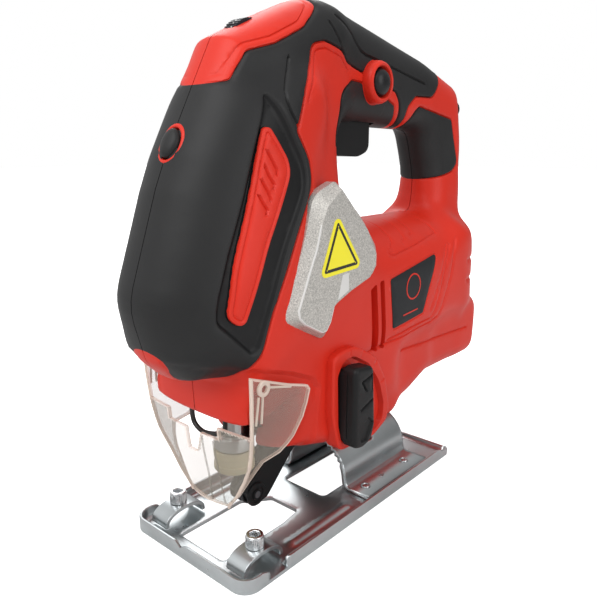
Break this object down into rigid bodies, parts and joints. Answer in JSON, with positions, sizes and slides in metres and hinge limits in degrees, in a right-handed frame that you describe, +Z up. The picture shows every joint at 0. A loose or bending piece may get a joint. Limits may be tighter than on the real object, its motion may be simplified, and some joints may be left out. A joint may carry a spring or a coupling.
{
  "type": "jigsaw",
  "caption": "Corded D-handle jigsaw: two-part moulded casing with soft grips, tilting pressed-steel shoe, clear blade guard, pendulum knob and reciprocating blade clamp.",
  "frame": {"origin": "On the sole of the shoe, on its centre line, at the bar between its two openings.", "axes": "+Z up from the sole, -Y forward towards the blade end, +X to the operator's left."},
  "size_m": [0.0837, 0.2462, 0.2406],
  "materials": {
    "red_casing": "fine satin moulding",
    "soft_grip": "matt overmoulded elastomer",
    "dark_plastic": "satin black nylon",
    "red_button": "satin red plastic",
    "silver_paint": "silver flake paint on plastic",
    "charcoal_plate": "plain dark plate",
    "yellow_label": "plain yellow label with a dark edge",
    "zinc_steel": "bright zinc plate on pressed steel",
    "steel": "ground steel",
    "blackened_wire": "black oxide steel wire",
    "laminated_iron": "stacked laminations",
    "copper_winding": "varnished copper",
    "brass": "plain brass",
    "bronze": "sintered bronze",
    "cast_aluminium": "as cast",
    "amber_nylon": "natural nylon",
    "clear_plastic": "clear polycarbonate"
  },
  "bodies": {
    "casing": {"housing_left": "red_casing", "housing_right": "red_casing", "inlay_left": "red_casing", "inlay_right": "red_casing", "soft_grip_left": "soft_grip", "soft_grip_right": "soft_grip", "trigger_pad_left": "soft_grip", "trigger_pad_right": "soft_grip", "strut_pad_left": "soft_grip", "strut_pad_right": "soft_grip", "switch_body": "dark_plastic", "light_module": "dark_plastic", "cord_gland": "dark_plastic", "side_plate_left": "silver_paint", "side_plate_right": "silver_paint", "badge_plate_left": "charcoal_plate", "triangle_badge_left": "yellow_label", "front_bearing": "steel", "rear_bearing": "steel", "gear_spindle": "steel", "fork_pin": "steel", "bevel_bolt": "steel", "bevel_clamp_block": "steel", "housing_screw_1": "steel", "housing_screw_2": "steel", "housing_screw_3": "steel", "housing_screw_4": "steel", "finger_guard_wire": "blackened_wire", "stator_core": "laminated_iron", "field_coil_upper": "copper_winding", "field_coil_lower": "copper_winding", "brush_holder_left": "brass", "brush_holder_right": "brass", "plunger_bush_lower": "bronze", "plunger_bush_upper": "bronze", "gear_case": "cast_aluminium"},
    "shoe": {"base_plate": "zinc_steel", "bevel_bracket": "zinc_steel", "fence_clamp_left": "zinc_steel", "fence_clamp_right": "zinc_steel", "fence_screw_left": "zinc_steel", "fence_screw_right": "zinc_steel"},
    "trigger": {"trigger": "dark_plastic"},
    "lock_button": {"lock_button": "dark_plastic"},
    "front_button": {"front_button": "red_button"},
    "speed_dial": {"speed_dial": "dark_plastic"},
    "pendulum_knob": {"orbital_knob": "dark_plastic", "orbital_cam": "steel"},
    "fork": {"roller_fork": "dark_plastic"},
    "roller": {"support_roller": "steel"},
    "plunger": {"plunger_rod": "steel", "yoke": "steel", "blade_clamp_body": "steel"},
    "clamp_ring": {"blade_clamp_collar": "amber_nylon"},
    "gear": {"drive_gear": "steel"},
    "armature": {"armature_shaft": "steel", "armature_core": "copper_winding", "commutator": "copper_winding", "fan": "dark_plastic"},
    "guard": {"blade_guard": "clear_plastic"}
  },
  "joints": [
    {"name": "bevel_tilt", "type": "hinge", "parent": "casing", "child": "shoe", "pos_m": [0, 0.048, 0.0075], "axis": [0, 1, 0], "range_deg": [-25, 25]},
    {"name": "trigger_press", "type": "slide", "parent": "casing", "child": "trigger", "axis": [0, 0, 1], "range_m": [0, 0.0045], "stiffness_N_per_m": 900, "springref_m": -0.001},
    {"name": "lock_press", "type": "slide", "parent": "casing", "child": "lock_button", "axis": [-1, 0, 0], "range_m": [0, 0.0025], "stiffness_N_per_m": 600, "springref_m": -0.0005},
    {"name": "front_press", "type": "slide", "parent": "casing", "child": "front_button", "axis": [0, 0.8988, -0.4384], "range_m": [0, 0.0015], "stiffness_N_per_m": 600, "springref_m": -0.0005},
    {"name": "speed_turn", "type": "hinge", "parent": "casing", "child": "speed_dial", "pos_m": [0, -0.0266, 0.2196], "axis": [1, 0, 0], "range_deg": [-150, 150]},
    {"name": "pendulum_turn", "type": "hinge", "parent": "casing", "child": "pendulum_knob", "pos_m": [0.036, 0.002, 0.063], "axis": [-1, 0, 0], "range_deg": [0, 90]},
    {"name": "fork_swing", "type": "hinge", "parent": "casing", "child": "fork", "pos_m": [0, 0.008, 0.048], "axis": [-1, 0, 0], "range_deg": [0, 4]},
    {"name": "roller_spin", "type": "hinge", "parent": "fork", "child": "roller", "pos_m": [0, -0.031, 0.018], "axis": [1, 0, 0], "continuous": true},
    {"name": "plunger_stroke", "type": "slide", "parent": "casing", "child": "plunger", "axis": [0, 0, 1], "range_m": [0, 0.02]},
    {"name": "clamp_turn", "type": "hinge", "parent": "plunger", "child": "clamp_ring", "pos_m": [0, -0.039, 0.04], "axis": [0, 0, 1], "range_deg": [0, 35], "stiffness_Nm_per_rad": 0.02, "springref_deg": -5.73},
    {"name": "gear_spin", "type": "hinge", "parent": "casing", "child": "gear", "pos_m": [0, -0.016, 0.135], "axis": [0, 1, 0], "continuous": true},
    {"name": "armature_spin", "type": "hinge", "parent": "casing", "child": "armature", "pos_m": [0, 0.05, 0.107], "axis": [0, 1, 0], "continuous": true},
    {"name": "guard_flip", "type": "hinge", "parent": "casing", "child": "guard", "pos_m": [0, -0.054, 0.086], "axis": [-1, 0, 0], "range_deg": [0, 60]}
  ],
  "couplings": [
    {"joint": "armature_spin", "follows": "gear_spin", "ratio": -6}
  ]
}
